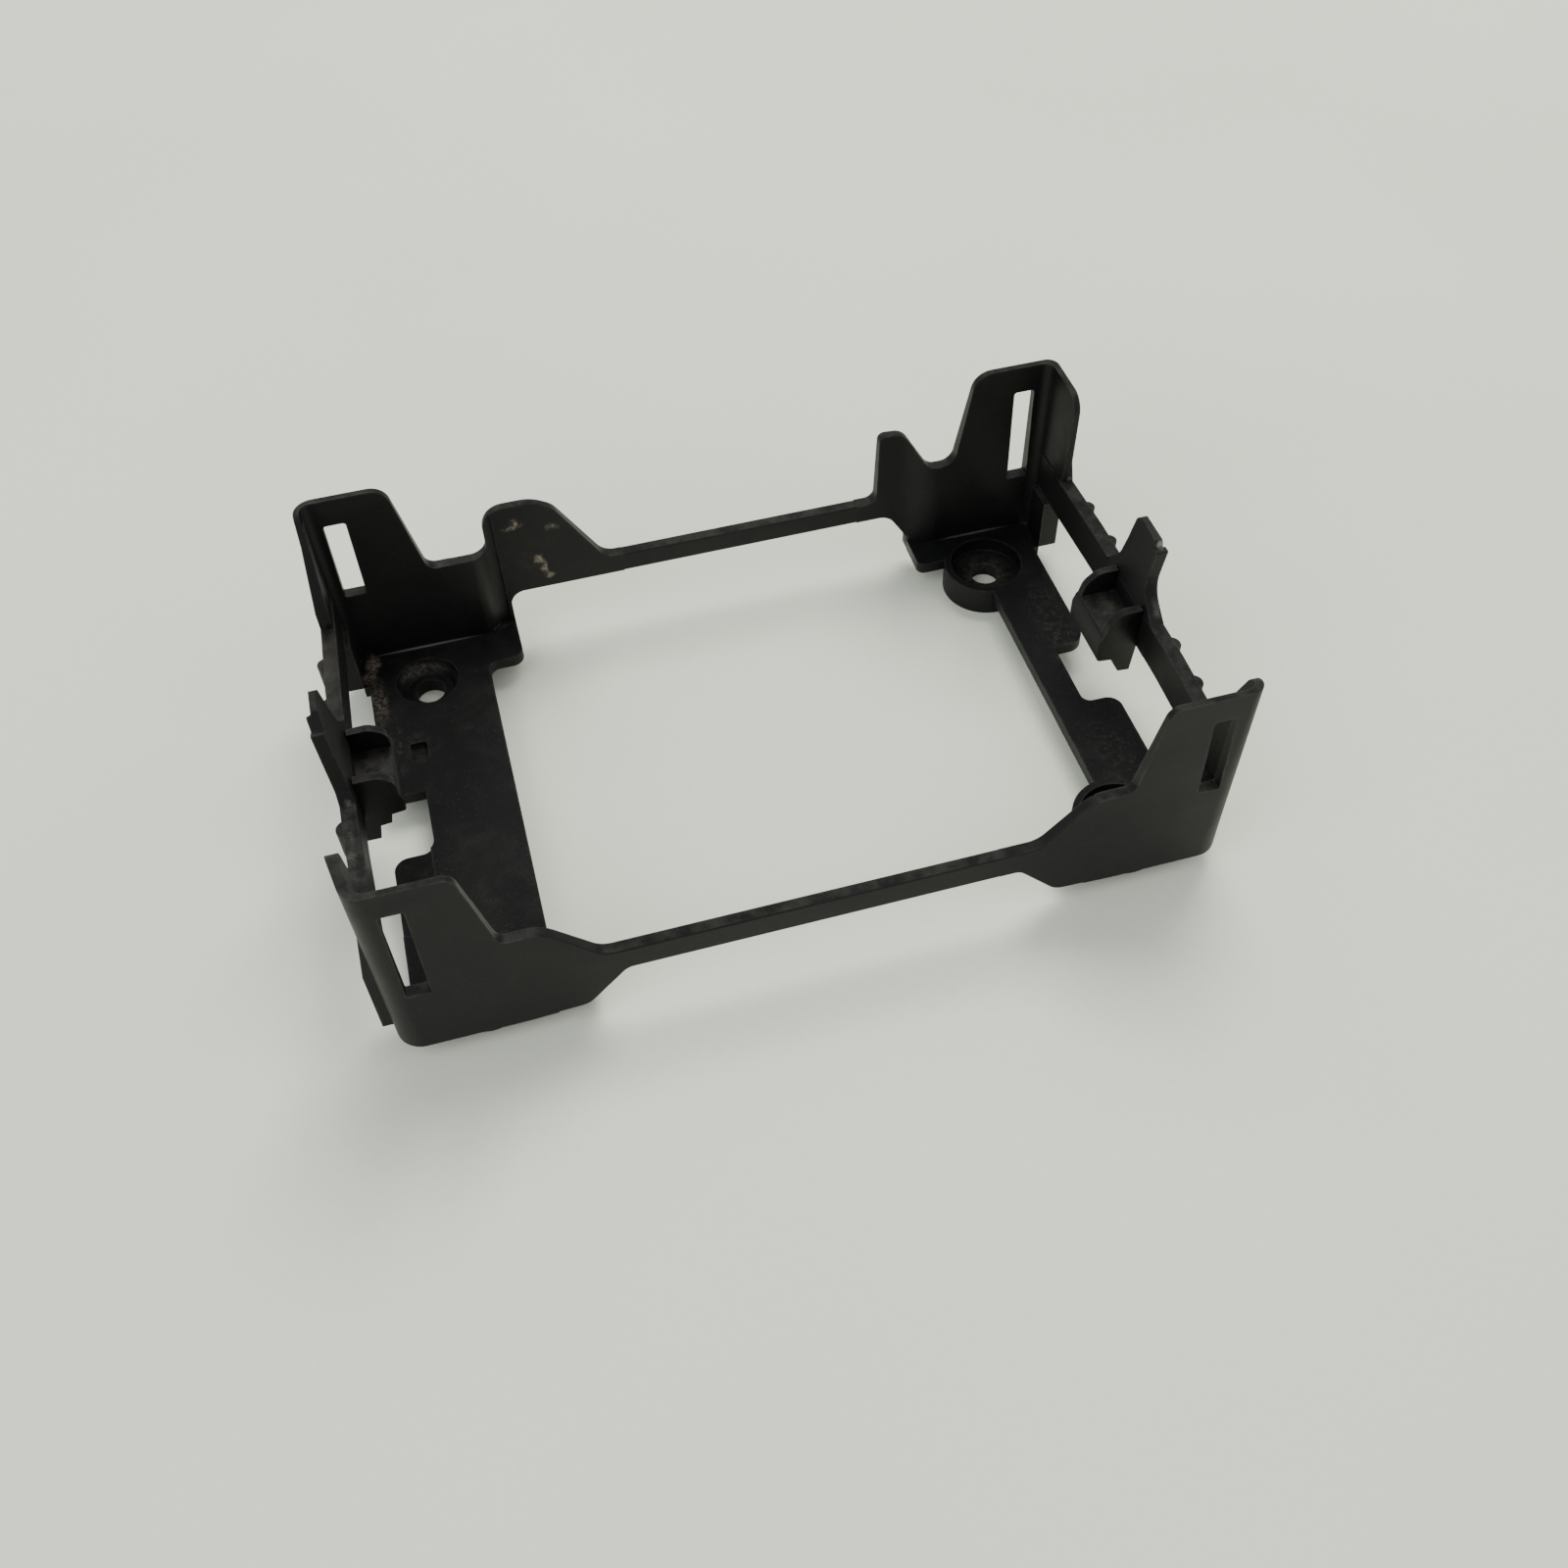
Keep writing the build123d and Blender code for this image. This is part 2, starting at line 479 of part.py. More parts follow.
def latch_bar(sx):
    return block(sx * XBI, sx * XBO, -LATCH_Y, LATCH_Y, BAR_Z0, BAR_Z1)


def latch_hook(side, sx):
    """Inward hook under two end ribs."""
    hook = along_y(flip(HOOKS[side], sx, 1), HOOK_F, HOOK_B)
    rib = flip(RIBS[side], sx, 1)
    return hook + along_y(rib, HOOK_F, HOOK_F + RIB_F) + along_y(rib, HOOK_B - RIB_B, HOOK_B)


def latch_fin(side, sx):
    """Upright fin with outward teeth near its front edge; only the left one has the barb."""
    fin = along_y(flip(FIN_SIDE, sx, 1), -10, 10)
    fin = fin + along_y(flip(FLANK, sx, 1), -10, FLANK_Y)
    if side == "left":
        fin = fin + along_y(flip(BARB, sx, 1), FLANK_Y, BARB_Y)
    return fin & along_x(FINS[side], sx * 40, sx * X_OUT)


# ---- assembly and export --------------------------------------------------------------
nodes = {
    "rear_left_post": post(-1, 1, False, REAR_L, CUT_L),
    "rear_right_post": post(1, 1, True, REAR_R, CUT_R),
    "front_right_post": post(1, -1, False, FRONT, CUT_F),
    "front_left_post": post(-1, -1, True, flip(FRONT, -1, 1), CUT_F),
    "rear_left_guide": rear_guide(-1, REAR_L, RAIL_X_L, CUT_L, JOG_L),
    "rear_right_guide": rear_guide(1, REAR_R, RAIL_X_R, CUT_R, JOG_R),
    "rear_rail": block(-RAIL_X_L, RAIL_X_R, YI + JOG, YO + JOG, REAR_Z0, REAR_Z1),
    "front_rail": front_rail(),
    "left_base_plate": left_base_plate(),
}
for side, sx in (("left", -1), ("right", 1)):
    nodes[f"front_{side}_shoulder"] = front_shoulder(sx)
    for end, sy in (("rear", 1), ("front", -1)):
        nodes[f"{end}_{side}_screw_boss"] = screw_boss(sx, sy)
        nodes[f"{side}_bar_{end}"] = end_bar(sx, sy)
    nodes[f"{side}_latch_bar"] = latch_bar(sx)
    nodes[f"{side}_latch_hook"] = latch_hook(side, sx)
    nodes[f"{side}_latch_fin"] = latch_fin(side, sx)

# the narrow right plate stops at the bosses; the small ears beyond them join the bosses
*ears, nodes["right_base_plate"] = right_plate_pieces()
for ear in ears:
    end = "rear" if ear.center().Y > 0 else "front"
    owner = f"{end}_right_screw_boss"
    nodes[owner] = nodes[owner] + ear

for name, shape in nodes.items():
    export_step(shape.solids()[0], f"parts/{name}.step")
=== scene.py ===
"""A black moulded plastic frame lying flat on a pale floor.

Metres, +Z up. Left is -X, right is +X, front is -Y and rear is +Y. Each side has an end bar
in two halves, front and rear, with a latch in the middle.
"""
import bpy, bmesh, math
from mathutils import Matrix, Vector
from mathutils.bvhtree import BVHTree


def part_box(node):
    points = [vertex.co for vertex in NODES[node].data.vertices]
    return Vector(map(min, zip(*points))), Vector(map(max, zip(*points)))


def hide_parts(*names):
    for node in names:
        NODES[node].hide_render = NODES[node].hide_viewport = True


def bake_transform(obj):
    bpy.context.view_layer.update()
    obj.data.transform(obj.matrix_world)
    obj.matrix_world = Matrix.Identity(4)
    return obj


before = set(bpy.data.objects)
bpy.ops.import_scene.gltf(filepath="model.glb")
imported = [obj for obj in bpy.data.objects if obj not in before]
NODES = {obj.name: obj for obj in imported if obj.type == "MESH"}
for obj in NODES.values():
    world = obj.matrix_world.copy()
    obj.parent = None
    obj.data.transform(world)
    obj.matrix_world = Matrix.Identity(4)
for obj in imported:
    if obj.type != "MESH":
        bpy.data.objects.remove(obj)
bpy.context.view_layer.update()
MM = 0.001

# ----------------------------------------------------------------------------------------
# shader helpers
# ----------------------------------------------------------------------------------------


class NodeNet:
    """A new material and short calls that add nodes to it."""

    def __init__(self, name):
        self.material = bpy.data.materials.new(name)
        self.material.use_nodes = True
        self.tree = self.material.node_tree
        self.tree.nodes.clear()

    def node(self, kind, **settings):
        node = self.tree.nodes.new(kind)
        for key, value in settings.items():
            setattr(node, key, value)
        return node

    def put(self, socket, value):
        """Link a socket into an input, or set the input to a plain value."""
        if isinstance(value, bpy.types.NodeSocket):
            self.tree.links.new(value, socket)
        else:
            socket.default_value = value

    def calc(self, operation, first, second, clamp=False):
        node = self.node("ShaderNodeMath", operation=operation, use_clamp=clamp)
        self.put(node.inputs[0], first)
        self.put(node.inputs[1], second)
        return node.outputs[0]

    def mul(self, first, second):
        return self.calc("MULTIPLY", first, second)

    def add(self, first, second, clamp=False):
        return self.calc("ADD", first, second, clamp)

    def vector(self, operation, first, second=None, output="Vector"):
        node = self.node("ShaderNodeVectorMath", operation=operation)
        self.put(node.inputs[0], first)
        if second is not None:
            self.put(node.inputs["Scale" if operation == "SCALE" else 1], second)
        return node.outputs[output]

    def z_of(self, vector):
        node = self.node("ShaderNodeSeparateXYZ")
        self.put(node.inputs[0], vector)
        return node.outputs["Z"]

    def noise(self, position, scale, detail, rough, distortion=0.0, output=0):
        node = self.node("ShaderNodeTexNoise")
        self.put(node.inputs["Vector"], position)
        node.inputs["Scale"].default_value = scale
        node.inputs["Detail"].default_value = detail
        node.inputs["Roughness"].default_value = rough
        node.inputs["Distortion"].default_value = distortion
        return node.outputs[output]

    def ramp(self, value, between, to=(0.0, 1.0), interpolation="SMOOTHSTEP"):
        """Map the span `between` onto the span `to`, clamped at both ends."""
        node = self.node("ShaderNodeMapRange", interpolation_type=interpolation, clamp=True)
        self.put(node.inputs["Value"], value)
        node.inputs["From Min"].default_value, node.inputs["From Max"].default_value = between
        node.inputs["To Min"].default_value, node.inputs["To Max"].default_value = to
        return node.outputs["Result"]

    def patches(self, position, between, to=(0.0, 1.0), **noise):
        """Noise pushed through a ramp, which leaves separate patches."""
        return self.ramp(self.noise(position, **noise), between, to)

    def mix(self, factor, under, over):
        node = self.node("ShaderNodeMix", data_type="RGBA")
        self.put(node.inputs["Factor"], factor)
        colour_inputs = [socket for socket in node.inputs if socket.type == "RGBA"]
        for socket, colour in zip(colour_inputs, (under, over)):
            self.put(socket, (*colour, 1.0) if isinstance(colour, tuple) else colour)
        return next(socket for socket in node.outputs if socket.type == "RGBA")

    def warp(self, position, scale, amount):
        """Position pushed about by noise, so that marks get torn, uneven outlines."""
        colour = self.noise(position, scale, detail=4.0, rough=0.65, output="Color")
        offset = self.vector("SUBTRACT", colour, (0.5, 0.5, 0.5))
        return self.vector("ADD", position, self.vector("SCALE", offset, amount))

    def blob(self, position, centre, radii, core):
        """1 inside the share `core` of an ellipsoid, falling smoothly to 0 at its edge."""
        offset = self.vector("SUBTRACT", position, centre)
        distance = self.vector("LENGTH", self.vector("DIVIDE", offset, radii), output="Value")
        return self.ramp(distance, between=(core, 1.0), to=(1.0, 0.0))

    def bump(self, height, strength, distance, normal=None):
        node = self.node("ShaderNodeBump")
        node.inputs["Strength"].default_value = strength
        node.inputs["Distance"].default_value = distance
        self.put(node.inputs["Height"], height)
        if normal is not None:
            self.put(node.inputs["Normal"], normal)
        return node.outputs[0]

    def surface(self, **inputs):
        """Principled surface wired to the output; underscores stand for spaces."""
        shader = self.node("ShaderNodeBsdfPrincipled")
        for key, value in inputs.items():
            self.put(shader.inputs[key.replace("_", " ")], value)
        output = self.node("ShaderNodeOutputMaterial")
        self.put(output.inputs["Surface"], shader.outputs[0])


# ----------------------------------------------------------------------------------------
# black moulded plastic
# ----------------------------------------------------------------------------------------
PLASTIC = (0.0042, 0.0045, 0.0044)
RUBBED = (0.072, 0.071, 0.063)
LOOSE_DUST = (0.078, 0.075, 0.066)
# paler colour for the high upward tops: partly dust, partly painted sheen
TOP_DUST_AND_SHEEN = (0.095, 0.088, 0.076)

# Local marks: centre mm, radii mm, colour, amount, noise scale, noise from, noise to,
# share of fine grit. Marks with hardly any grit keep a clean outline.
TORN_ABOVE = 0.2
MARKS = [
    # dried smears on the inner face of the rear left hump
    ((-23.3, 30.1, 19.4), (1.9, 1.3, 0.75), (0.27, 0.24, 0.17), 0.75, 900.0, 0.36, 0.58, 0.3),
    ((-23.0, 30.1, 19.9), (0.7, 1.3, 1.2), (0.27, 0.24, 0.17), 0.6, 900.0, 0.4, 0.6, 0.3),
    ((-18.3, 30.1, 18.4), (1.1, 1.3, 0.8), (0.20, 0.18, 0.13), 0.6, 1000.0, 0.4, 0.6, 0.3),
    ((-20.9, 30.1, 13.6), (0.8, 1.3, 1.0), (0.30, 0.27, 0.20), 0.85, 900.0, 0.36, 0.55, 0.3),
    ((-20.4, 30.1, 12.1), (0.8, 1.3, 1.2), (0.30, 0.27, 0.20), 0.85, 900.0, 0.36, 0.55, 0.3),
    ((-19.9, 30.1, 10.7), (1.0, 1.3, 0.6), (0.28, 0.25, 0.18), 0.7, 900.0, 0.4, 0.56, 0.3),
    ((-21.5, 30.1, 15.0), (4.8, 1.3, 5.2), (0.12, 0.11, 0.08), 0.12, 380.0, 0.45, 0.7, 0.6),
    # grit in the rear left inner corner, thinning out forwards along the left plate
    ((-44.6, 27.2, 4.1), (1.3, 2.2, 1.3), (0.36, 0.28, 0.22), 0.9, 1500.0, 0.34, 0.58, 0.7),
    ((-45.3, 25.0, 4.1), (1.3, 1.3, 1.2), (0.36, 0.28, 0.22), 0.8, 1500.0, 0.36, 0.6, 0.8),
    ((-44.4, 20.5, 4.1), (1.5, 5.6, 1.0), (0.26, 0.21, 0.16), 0.6, 1500.0, 0.4, 0.64, 0.9),
    ((-44.0, 12.0, 4.1), (2.6, 8.0, 1.0), (0.16, 0.14, 0.11), 0.45, 1400.0, 0.46, 0.68, 0.95),
    ((-40.5, 12.0, 3.7), (2.0, 3.2, 1.0), (0.13, 0.11, 0.09), 0.22, 1300.0, 0.44, 0.64, 0.9),
    # loose grit along the right plate
    ((42.5, 6.0, 4.0), (3.6, 16.0, 1.0), (0.12, 0.11, 0.095), 0.32, 1300.0, 0.44, 0.66, 0.95),
    ((41.5, -14.0, 4.0), (3.6, 9.0, 1.0), (0.12, 0.11, 0.095), 0.28, 1300.0, 0.46, 0.68, 0.95),
    # pale line along the foot of the rear wall: painted highlight on its fillet, with some dust
    ((-37.6, 28.66, 4.02), (8.6, 0.34, 0.3), (0.19, 0.185, 0.17), 0.8, 260.0, 0.26, 0.5, 0.12),
    ((-28.3, 29.5, 4.1), (3.2, 0.75, 0.4), (0.14, 0.135, 0.12), 0.6, 700.0, 0.34, 0.6, 0.4),
    ((38.5, 28.66, 4.02), (6.5, 0.34, 0.3), (0.15, 0.145, 0.13), 0.6, 300.0, 0.3, 0.55, 0.12),
    # settled dust in the seats of the right screw bosses
    ((38.1, 22.45, 2.0), (5.4, 5.4, 2.6), (0.10, 0.095, 0.08), 0.38, 1200.0, 0.36, 0.6, 0.7),
    ((38.1, -23.15, 2.0), (5.4, 5.4, 2.6), (0.12, 0.11, 0.095), 0.5, 1200.0, 0.34, 0.58, 0.6),
    # dust inside the rear left screw boss
    ((-38.6, 25.0, 3.2), (4.0, 2.4, 1.3), (0.22, 0.19, 0.15), 0.55, 1300.0, 0.34, 0.62, 0.8),
    # pale rub marks where the bars meet the posts and on the latches
    ((-48.2, 23.6, 16.8), (0.9, 1.6, 1.0), (0.17, 0.16, 0.145), 0.6, 900.0, 0.34, 0.6, 0.5),
    ((48.2, 22.0, 17.0), (0.9, 1.4, 1.0), (0.18, 0.17, 0.15), 0.7, 900.0, 0.34, 0.58, 0.4),
    ((-47.9, -5.6, 16.8), (0.8, 2.4, 0.6), (0.17, 0.155, 0.14), 0.6, 900.0, 0.34, 0.6, 0.5),
    ((-48.3, -13.0, 16.8), (0.8, 7.0, 0.6), (0.13, 0.12, 0.11), 0.45, 700.0, 0.4, 0.66, 0.6),
    ((49.0, -2.0, 25.4), (0.7, 0.7, 0.7), (0.30, 0.29, 0.26), 0.8, 900.0, 0.2, 0.5, 0.2),
    ((48.6, -4.8, 17.6), (0.8, 1.6, 1.6), (0.12, 0.12, 0.11), 0.6, 900.0, 0.3, 0.6, 0.5),
    ((-45.0, -0.2, 14.4), (2.2, 3.4, 0.8), (0.13, 0.115, 0.10), 0.4, 1200.0, 0.4, 0.66, 0.9),
    ((44.8, 0.6, 14.4), (1.8, 2.4, 0.8), (0.13, 0.12, 0.10), 0.4, 1200.0, 0.4, 0.66, 0.9),
    # short scratch on the ledge of the left plate
    ((-43.6, -6.15, 3.2), (0.8, 0.22, 0.4), (0.26, 0.25, 0.23), 0.8, 900.0, 0.2, 0.5, 0.2),
]


def plastic_colour(net, position, broad, streak):
    """Near-black, a little paler in broad clouds, flow streaks and specks."""

    def paler(factor, lift=0.0):
        return tuple(channel * factor + lift for channel in PLASTIC)

    speck = net.noise(position, scale=2600.0, detail=3.0, rough=0.6)
    colour = net.mix(net.ramp(broad, between=(0.35, 0.68)), PLASTIC, paler(1.5))
    streaks = net.ramp(streak, between=(0.52, 0.74), to=(0.0, 0.45))
    colour = net.mix(streaks, colour, paler(2.0, lift=0.001))
    specks = net.ramp(speck, between=(0.56, 0.74), to=(0.0, 0.4))
    return net.mix(specks, colour, paler(2.6, lift=0.004))


def edge_wear(net, position, normal):
    """Patchy mask on the edges, where the bevelled normal leaves the true one."""
    bevel = net.node("ShaderNodeBevel", samples=6)
    bevel.inputs["Radius"].default_value = 0.0005
    agreement = net.vector("DOT_PRODUCT", bevel.outputs[0], normal, output="Value")
    edge = net.ramp(agreement, between=(0.995, 0.86))
    patchy = net.patches(position, scale=420.0, detail=5.0, rough=0.7,
                         between=(0.38, 0.66), to=(0.12, 1.0))
    return net.mul(edge, patchy)


def add_dust_and_painted_sheen(net, position, normal, colour):
    """Film and flecks of dust, heavier on whatever faces up; the higher tops are paler still,
    partly dust and partly painted sheen.
    """
    up = net.z_of(normal)
    lying = net.ramp(up, between=(0.35, 0.95), to=(0.25, 1.0))
    film = net.patches(position, scale=130.0, detail=6.0, rough=0.7, distortion=0.4,
                       between=(0.46, 0.78), to=(0.02, 0.15))
    flecks = net.mul(
        net.patches(position, scale=3400.0, detail=2.0, rough=0.5, between=(0.6, 0.72)),
        net.patches(position, scale=210.0, detail=4.0, rough=0.6,
                    between=(0.42, 0.7), to=(0.05, 0.34)))
    colour = net.mix(net.mul(net.add(film, flecks), lying), colour, LOOSE_DUST)
    # high upward faces painted paler: partly dust, partly painted sheen from the light overhead
    tops = net.mul(
        net.ramp(up, between=(0.82, 0.97)),
        net.patches(position, scale=340.0, detail=6.0, rough=0.72,
                    between=(0.36, 0.66), to=(0.0, 0.22)))
    high = net.ramp(net.z_of(position), between=(0.009, 0.0112))
    return net.mix(net.mul(tops, high), colour, TOP_DUST_AND_SHEEN)


def add_marks(net, position, colour, rough):
    """Lay the table of local marks over the colour; each one also dulls the surface."""
    torn = net.warp(position, scale=620.0, amount=0.0019)
    grit = net.patches(position, scale=5200.0, detail=3.0, rough=0.65, between=(0.42, 0.6))
    for centre, radii, mark_colour, amount, scale, start, end, grit_share in MARKS:
        mask = net.blob(torn if grit_share > TORN_ABOVE else position,
                        centre=tuple(value * MM for value in centre),
                        radii=tuple(value * MM for value in radii), core=0.3)
        mask = net.mul(mask, net.patches(position, scale=scale, detail=7.0, rough=0.74,
                                         distortion=0.3, between=(start, end)))
        mask = net.mul(mask, net.ramp(grit, between=(0.0, 1.0), to=(1.0 - grit_share, 1.0),
                                      interpolation="LINEAR"))
        mask = net.mul(mask, amount)
        colour = net.mix(mask, colour, mark_colour)
        rough = net.add(rough, net.mul(mask, 0.4), clamp=True)
    return colour, rough


def plastic_material():
    net = NodeNet("frame_plastic")
    position = net.node("ShaderNodeTexCoord").outputs["Object"]
    normal = net.node("ShaderNodeNewGeometry").outputs["Normal"]

    # fine satin grain, slight waviness, broad clouds and streaks drawn out along X
    grain = net.noise(position, scale=5200.0, detail=3.0, rough=0.6)
    wave = net.noise(position, scale=95.0, detail=3.0, rough=0.5)
    broad = net.noise(position, scale=38.0, detail=4.0, rough=0.6)
    flow = net.node("ShaderNodeMapping")
    net.put(flow.inputs["Vector"], position)
    flow.inputs["Scale"].default_value = (0.35, 1.0, 1.0)
    streak = net.noise(flow.outputs[0], scale=160.0, detail=5.0, rough=0.65, distortion=0.6)

    colour = plastic_colour(net, position, broad, streak)
    wear = edge_wear(net, position, normal)
    colour = net.mix(net.mul(wear, 0.34), colour, RUBBED)
    rough = net.add(net.ramp(broad, between=(0.3, 0.7), to=(0.40, 0.54)),
                    net.ramp(streak, between=(0.5, 0.75), to=(0.0, 0.08)))
    rough = net.calc("SUBTRACT", rough, net.mul(wear, 0.08))
    colour = add_dust_and_painted_sheen(net, position, normal, colour)
    colour, rough = add_marks(net, position, colour, rough)

    fine = net.bump(grain, strength=0.16, distance=0.00006)
    relief = net.bump(wave, strength=0.28, distance=0.0004, normal=fine)
    net.surface(Base_Color=colour, Roughness=rough, IOR=1.5, Specular_IOR_Level=0.2,
                Normal=relief)
    return net.material


BLACK = plastic_material()

# ----------------------------------------------------------------------------------------
# moulded edges: every free edge is rounded over; edges where two regions of the one moulding
# meet flush stay as they are, and the hidden faces between them are left out
# ----------------------------------------------------------------------------------------
EDGE_RADIUS = 0.00024   # usual rounding
SOFT_RADIUS = 0.00042   # rear rims and front tips
SHARP_COS = math.cos(math.radians(30))
NEAR_GAP = 0.00005      # boxes this close count as neighbours
TOUCH_GAP = 0.000012    # surfaces this close count as touching
TINY_AREA = 1e-13
SAMPLE_INSET = 0.06     # share of the way from a face's outline to its centre

# softer rims along the top of the rear walls, except in a slot on each side
SOFT_RIMS = ("rear_left_post", "rear_right_post", "rear_left_guide", "rear_right_guide")
RIM_MIN_Y, RIM_MIN_Z, RIM_MAX_X = 0.0284, 0.0113, 0.0462
SLOT_MIN_X, SLOT_MAX_X, SLOT_TOP_Z = 0.0425, 0.0456, 0.0267
# the wings of the front posts end in fully rounded tips
ROUND_TIPS = ("front_left_post", "front_right_post")
TIP_MIN_X, TIP_MIN_Y, TIP_MIN_Z = 0.0465, -0.0284, 0.0215

TREES = {
    name: BVHTree.FromPolygons([vertex.co for vertex in obj.data.vertices],
                               [tuple(face.vertices) for face in obj.data.polygons])
    for name, obj in NODES.items()
}
BOXES = {name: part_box(name) for name in NODES}


def neighbours(name):
    low, high = BOXES[name]
    return [
        other for other, (other_low, other_high) in BOXES.items()
        if other != name and all(other_low[i] <= high[i] + NEAR_GAP
                                 and other_high[i] >= low[i] - NEAR_GAP for i in range(3))
    ]


def covered(point, normal, others):
    """Whether another piece touches the point, facing against the normal if one is given."""
    for other in others:
        place, facing, *_ = TREES[other].find_nearest(point, TOUCH_GAP)
        if place is not None and (normal is None or facing.dot(normal) < -0.9):
            return True
    return False


def is_hidden(face, coords, others):
    """Whether the centre, corners and edge middles of a face are all covered."""
    corners = [coords[i] for i in face.vertices]
    centre = sum(corners, Vector()) / len(corners)
    middles = [(corners[i] + corners[i - 1]) / 2 for i in range(len(corners))]
    samples = [centre] + [point.lerp(centre, SAMPLE_INSET) for point in corners + middles]
    return all(covered(point, face.normal, others) for point in samples)


def is_soft(name, point):
    side = abs(point.x)
    if name in SOFT_RIMS:
        in_slot = SLOT_MIN_X < side < SLOT_MAX_X and point.z < SLOT_TOP_Z
        on_rim = point.y > RIM_MIN_Y and point.z > RIM_MIN_Z and side < RIM_MAX_X
        return on_rim and not in_slot
    return (name in ROUND_TIPS and side > TIP_MIN_X
            and point.y > TIP_MIN_Y and point.z > TIP_MIN_Z)


def store(mesh, name, kind, domain, values):
    attribute = mesh.attributes.get(name) or mesh.attributes.new(name, kind, domain)
    attribute.data.foreach_set("value", values)


def mark_edges(name, mesh):
    """Store which faces are hidden seams and how far each edge is rounded."""
    others = neighbours(name)
    coords = [vertex.co for vertex in mesh.vertices]

    def edge_key(start, end):
        """The same key for coincident edges, even where vertices are doubled."""
        return tuple(sorted(tuple(round(c * 1e6) for c in coords[i]) for i in (start, end)))

    seams = []
    edge_normals = {}
    for face in mesh.polygons:
        hidden = is_hidden(face, coords, others)
        seams.append(hidden)
        if not hidden and face.area > TINY_AREA:
            ids = list(face.vertices)
            for i in range(len(ids)):
                key = edge_key(ids[i - 1], ids[i])
                edge_normals.setdefault(key, []).append(face.normal.copy())

    weights = []
    for edge in mesh.edges:
        start, end = edge.vertices
        normals = edge_normals.get(edge_key(start, end), [])
        middle = (coords[start] + coords[end]) / 2
        weight = 0.0
        if (len(normals) == 2 and normals[0].dot(normals[1]) < SHARP_COS
                and not covered(middle, None, others)):
            weight = 1.0 if is_soft(name, middle) else EDGE_RADIUS / SOFT_RADIUS
        weights.append(weight)
    store(mesh, "seam_face", "BOOLEAN", "FACE", seams)
    store(mesh, "bevel_weight_edge", "FLOAT", "EDGE", weights)


def drop_seams_group():
    """Geometry nodes that delete the seam faces and shade the rest smooth."""
    group = bpy.data.node_groups.new("drop_seam_faces", "GeometryNodeTree")
    for direction in ("INPUT", "OUTPUT"):
        group.interface.new_socket("Geometry", in_out=direction,
                                   socket_type="NodeSocketGeometry")
    start = group.nodes.new("NodeGroupInput")
    end = group.nodes.new("NodeGroupOutput")
    seam = group.nodes.new("GeometryNodeInputNamedAttribute")
    seam.data_type = "BOOLEAN"
    seam.inputs["Name"].default_value = "seam_face"
    cut = group.nodes.new("GeometryNodeDeleteGeometry")
    cut.domain = "FACE"
    smooth = group.nodes.new("GeometryNodeSetShadeSmooth")
    link = group.links.new
    link(start.outputs[0], cut.inputs["Geometry"])
    link(next(socket for socket in seam.outputs if socket.type == "BOOLEAN" and socket.enabled),
         cut.inputs["Selection"])
    link(cut.outputs[0], smooth.inputs["Geometry"])
    link(smooth.outputs[0], end.inputs[0])
    return group


DROP_SEAMS = drop_seams_group()


def modify(obj, name, kind, **settings):
    modifier = obj.modifiers.new(name, kind)
    for key, value in settings.items():
        setattr(modifier, key, value)


def weight_normals(obj):
    modify(obj, "normals", "WEIGHTED_NORMAL", mode="FACE_AREA", weight=60)


def round_edges(obj):
    modify(obj, "weld", "WELD", merge_threshold=0.0000015)
    modify(obj, "seams", "NODES", node_group=DROP_SEAMS)
    modify(obj, "planar", "DECIMATE", decimate_type="DISSOLVE", angle_limit=math.radians(0.4))
    modify(obj, "edges", "BEVEL", limit_method="WEIGHT", width=SOFT_RADIUS, segments=3,
           use_clamp_overlap=True, miter_outer="MITER_ARC")
    weight_normals(obj)


for name, obj in NODES.items():
    mark_edges(name, obj.data)
    round_edges(obj)
    obj.data.materials.clear()
    obj.data.materials.append(BLACK)

# ----------------------------------------------------------------------------------------
# end bars: thin and springy; each half is copied and cut across in steps between its post and
# the latch in the middle
# ----------------------------------------------------------------------------------------
BAR_POST_Y = 0.0212     # where a half bar meets its post
BAR_LATCH_Y = 0.0064    # where it meets the latch
BAR_STEPS = 22


def bending_bar(node, post_y, latch_y):
    """Copy a half bar with its rounding applied and cut it across in steps."""
    source = NODES[node]
    evaluated = source.evaluated_get(bpy.context.evaluated_depsgraph_get())
    mesh = bpy.data.meshes.new_from_object(evaluated)
    mesh.transform(source.matrix_world)
    cutter = bmesh.new()
    cutter.from_mesh(mesh)
    for i in range(1, BAR_STEPS):
        y = latch_y + (post_y - latch_y) * i / BAR_STEPS
        bmesh.ops.bisect_plane(cutter, geom=cutter.verts[:] + cutter.edges[:] + cutter.faces[:],
                               dist=1e-7, plane_co=(0, y, 0), plane_no=(0, 1, 0))
    for face in cutter.faces:
        face.smooth = True
    cutter.to_mesh(mesh)
    cutter.free()
    for key in ("seam_face", "bevel_weight_edge", "custom_normal", "sharp_face", "sharp_edge"):
        if key in mesh.attributes:
            mesh.attributes.remove(mesh.attributes[key])
    mesh.materials.clear()
    mesh.materials.append(BLACK)
    bar = bpy.data.objects.new(node + "_bent", mesh)
    bpy.context.scene.collection.objects.link(bar)
    weight_normals(bar)
    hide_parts(node)
    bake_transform(bar)


bpy.context.view_layer.update()
for side in ("left", "right"):
    for half, sign in (("rear", 1), ("front", -1)):
        bending_bar(f"{side}_bar_{half}", sign * BAR_POST_Y, sign * BAR_LATCH_Y)

# ----------------------------------------------------------------------------------------
# floor
# ----------------------------------------------------------------------------------------


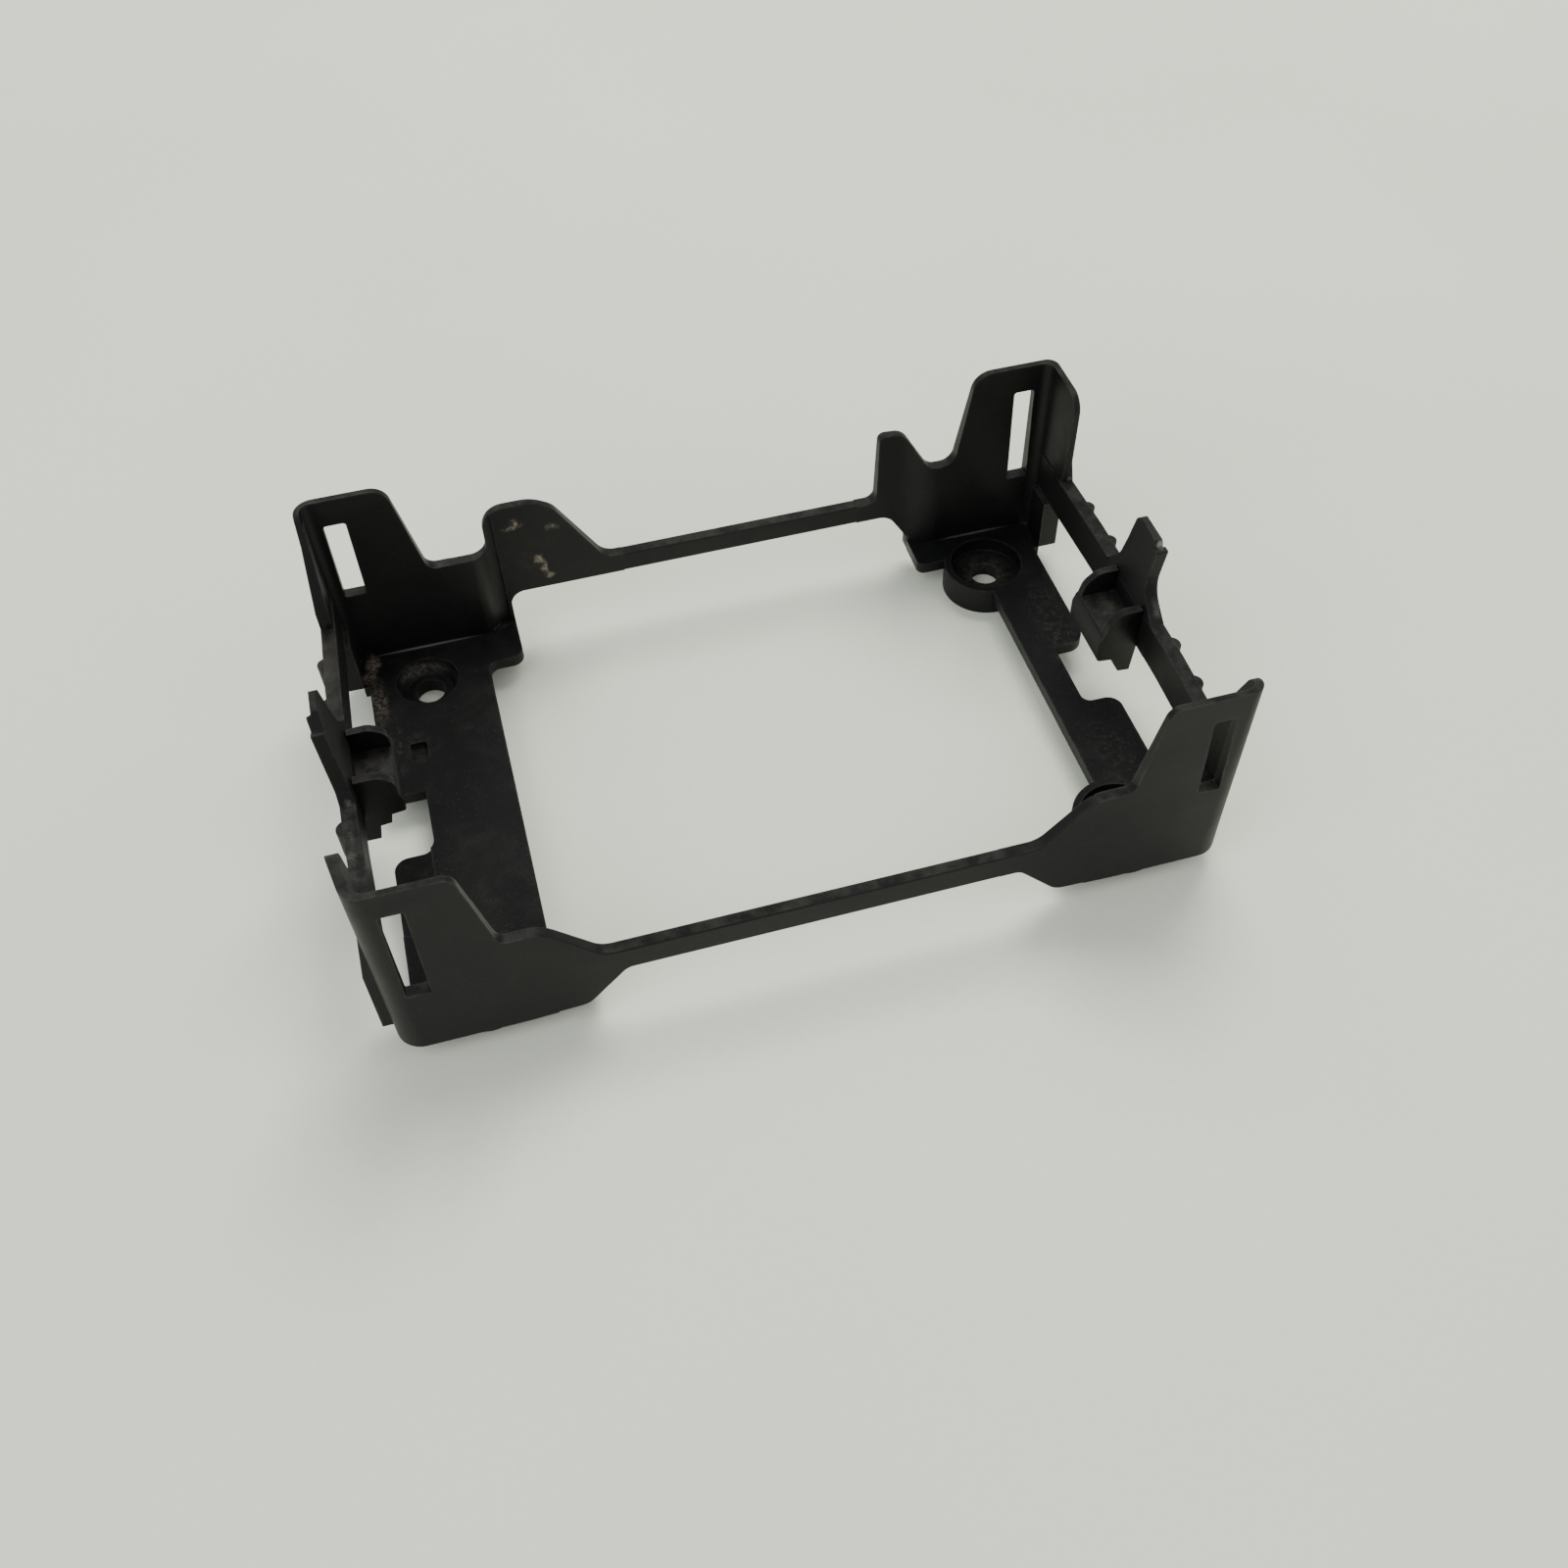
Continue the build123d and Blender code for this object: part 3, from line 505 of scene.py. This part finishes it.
def floor_material():
    """Pale board with faint clouds and a fine grain."""
    net = NodeNet("floor_board")
    position = net.node("ShaderNodeTexCoord").outputs["Object"]
    grain = net.noise(position, scale=900.0, detail=4.0, rough=0.6)
    clouds = net.patches(position, scale=9.0, detail=3.0, rough=0.5, between=(0.3, 0.7))
    colour = net.mix(clouds, (0.80, 0.82, 0.70), (0.84, 0.86, 0.74))
    colour = net.mix(net.ramp(grain, between=(0.4, 0.7), to=(0.0, 0.2)), colour,
                     (0.74, 0.76, 0.65))
    net.surface(Base_Color=colour, Roughness=0.62,
                Normal=net.bump(grain, strength=0.1, distance=0.0002))
    return net.material


def make_floor():
    grid = bmesh.new()
    bmesh.ops.create_grid(grid, x_segments=8, y_segments=8, size=3.0)
    mesh = bpy.data.meshes.new("floor")
    grid.to_mesh(mesh)
    grid.free()
    floor = bpy.data.objects.new("floor", mesh)
    floor.data.materials.append(floor_material())
    bpy.context.scene.collection.objects.link(floor)


make_floor()

# ----------------------------------------------------------------------------------------
# lights, world and camera
# ----------------------------------------------------------------------------------------
# name, place, target, size, power, colour
LIGHTS = [
    ("key", (0.25, 0.45, 0.75), (0, 0, 0), (0.5, 0.5), 8.0, (1.0, 0.98, 0.94)),
    ("fill", (-0.6, -0.35, 0.6), (0, 0, 0), (0.7, 0.7), 4.0, (0.95, 0.98, 1.0)),
    ("rim", (0.6, -0.3, 0.35), (0, 0, 0.01), (0.5, 0.4), 1.2, (1.0, 0.98, 0.95)),
    ("sheen", (-0.15, 0.7, 0.5), (0, 0, 0.01), (0.25, 0.25), 0.5, (1.0, 0.99, 0.96)),
]
for name, place, target, size, power, colour in LIGHTS:
    data = bpy.data.lights.new(name, "AREA")
    data.shape = "RECTANGLE"
    data.size, data.size_y = size
    data.energy = power
    data.color = colour
    light = bpy.data.objects.new(name, data)
    light.location = place
    aim = Vector(target) - Vector(place)
    light.rotation_euler = aim.to_track_quat("-Z", "Y").to_euler()
    light.visible_glossy = name != "key"    # the key light leaves no reflection
    bpy.context.scene.collection.objects.link(light)

world = bpy.data.worlds.new("studio")
bpy.context.scene.world = world
world.use_nodes = True
background = world.node_tree.nodes["Background"]
background.inputs["Color"].default_value = (0.93, 0.96, 0.98, 1)
background.inputs["Strength"].default_value = 0.5

CAMERA_PLACE = (-0.02756, -0.12233, 0.14909)
CAMERA_AXES = (
    (0.9631071094311336, -0.2682733799640205, -0.021309372723914727),    # right
    (0.22075540513035452, 0.7422597070765691, 0.6327065499553007),       # up
    (-0.15392123592584453, -0.6140683356543363, 0.7740983996093613),     # backwards
)
camera_data = bpy.data.cameras.new("camera")
camera = bpy.data.objects.new("camera", camera_data)
bpy.context.scene.collection.objects.link(camera)
pose = Matrix([Vector(axis).normalized() for axis in CAMERA_AXES]).transposed().to_4x4()
pose.translation = CAMERA_PLACE
camera.matrix_world = pose
camera_data.sensor_width = 36.0
camera_data.lens = 35.6096475
camera_data.clip_start = 0.005
camera_data.clip_end = 20.0
bpy.context.scene.camera = camera

bpy.context.scene.view_settings.view_transform = "AgX"
bpy.context.scene.view_settings.look = "None"
